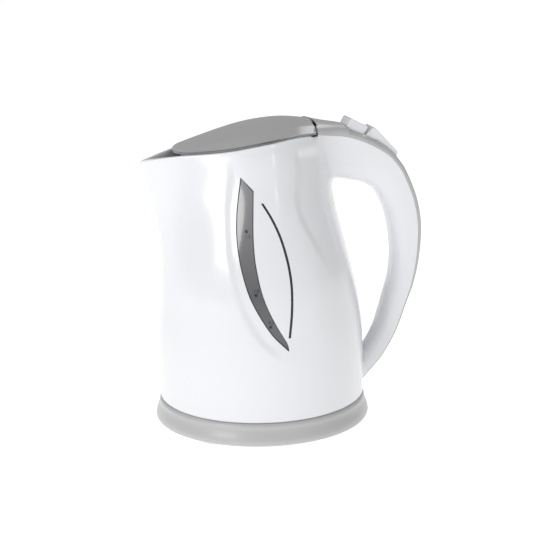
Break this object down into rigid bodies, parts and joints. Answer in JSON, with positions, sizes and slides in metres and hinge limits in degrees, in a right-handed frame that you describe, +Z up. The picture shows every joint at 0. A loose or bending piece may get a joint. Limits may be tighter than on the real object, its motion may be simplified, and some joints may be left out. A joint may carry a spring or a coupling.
{
  "type": "electric kettle",
  "caption": "Cordless kettle: plastic jug with a spout, hinged lid and open handle that swivels on and lifts off a round power base.",
  "frame": {"origin": "centre of the power base on the table plane, on the axis on which the jug swivels", "axes": "+Z up along the swivel axis, -X towards the spout, +X towards the handle"},
  "size_m": [0.2066, 0.157, 0.2204],
  "materials": {
    "white_shell": "gloss",
    "grey_shell": "satin",
    "lid_grey": "satin",
    "smoke_window": "gloss",
    "black_plastic": "matte",
    "rubber_feet": "matte",
    "silicone": "matte",
    "steel": "brushed",
    "brass": "bare"
  },
  "bodies": {
    "base": {"base_housing": "grey_shell", "base_bottom_cover": "grey_shell", "base_feet": "rubber_feet", "base_screws": "steel", "cord_grommet": "black_plastic", "terminal_block": "black_plastic"},
    "tower": {"connector_tower": "black_plastic", "tower_contacts": "brass"},
    "kettle": {"jug_body": "white_shell", "handle_grip": "white_shell", "handle_cover": "grey_shell", "water_window_left": "smoke_window", "water_window_right": "smoke_window", "accent_strip_left": "black_plastic", "accent_strip_right": "black_plastic", "heating_plate": "steel", "plate_seal": "silicone", "heating_element": "steel", "control_unit": "black_plastic", "contact_blades": "brass", "bimetal_discs": "brass", "jug_bottom_cover": "white_shell", "bottom_screws": "steel", "filter_frame": "white_shell", "filter_mesh": "grey_shell", "hinge_bracket": "white_shell", "hinge_pin": "steel", "lid_spring": "steel", "latch_pin": "steel", "button_spring": "steel", "steam_switch": "black_plastic", "steam_disc": "brass", "handle_wires": "black_plastic", "switch_pin": "steel"},
    "lid": {"lid_cover": "lid_grey", "lid_liner": "white_shell", "lid_hinge_arm": "white_shell"},
    "lid_button": {"lid_button": "white_shell"},
    "lid_latch": {"lid_latch": "black_plastic"},
    "power_switch": {"power_switch": "white_shell"}
  },
  "joints": [
    {"name": "kettle_swivel", "type": "hinge", "parent": "base", "child": "tower", "pos_m": [0, 0, 0.018], "axis": [0, 0, 1], "continuous": true},
    {"name": "kettle_lift", "type": "slide", "parent": "tower", "child": "kettle", "axis": [0, 0, 1], "range_m": [0, 0.05]},
    {"name": "lid_hinge", "type": "hinge", "parent": "kettle", "child": "lid", "pos_m": [0.0375, 0, 0.21645], "axis": [0, 1, 0], "range_deg": [0, 65]},
    {"name": "lid_release", "type": "slide", "parent": "kettle", "child": "lid_button", "axis": [0, 0, -1], "range_m": [0, 0.0025], "stiffness_N_per_m": 400, "springref_m": -0.002},
    {"name": "latch_rock", "type": "hinge", "parent": "kettle", "child": "lid_latch", "pos_m": [0.0465, 0, 0.20417], "axis": [0, 1, 0], "range_deg": [0, 8]},
    {"name": "power_rock", "type": "hinge", "parent": "kettle", "child": "power_switch", "pos_m": [0.08935, 0, 0.19566], "axis": [0, 1, 0], "range_deg": [0, 6]}
  ],
  "couplings": [
    {"joint": "latch_rock", "follows": "lid_release", "rad_per_m": 39}
  ]
}
